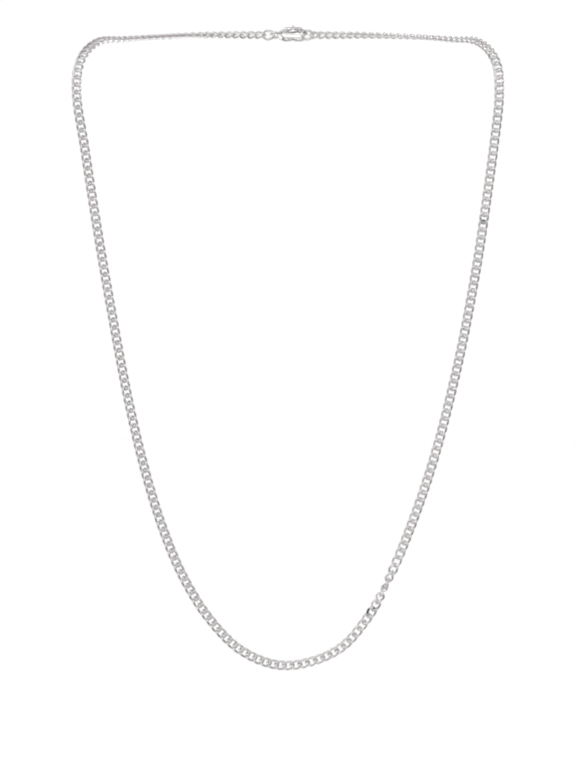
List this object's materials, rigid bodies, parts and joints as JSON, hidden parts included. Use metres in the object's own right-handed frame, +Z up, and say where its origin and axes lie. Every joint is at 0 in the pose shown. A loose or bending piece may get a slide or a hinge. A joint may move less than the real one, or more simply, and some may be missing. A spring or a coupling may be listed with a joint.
{
  "type": "curb chain necklace",
  "caption": "Fine silver curb chain necklace hanging in a long loop, with a half twist low on one side and a lobster clasp at the nape.",
  "frame": {"origin": "the middle of the neck that the necklace hangs on, level with the top of the hanging front", "axes": "+Z up, the hanging front faces -Y, +Y towards the clasp at the nape, +X to the right of someone who looks at the front"},
  "size_m": [0.1039, 0.0331, 0.1575],
  "materials": {
    "chain": "polished silver",
    "jump_rings": "polished silver",
    "clasp": "polished silver"
  },
  "bodies": {
    "root": {"chain_left": "chain", "chain_right": "chain", "jump_ring_left": "jump_rings", "jump_ring_right": "jump_rings", "clasp": "clasp"}
  },
  "joints": []
}
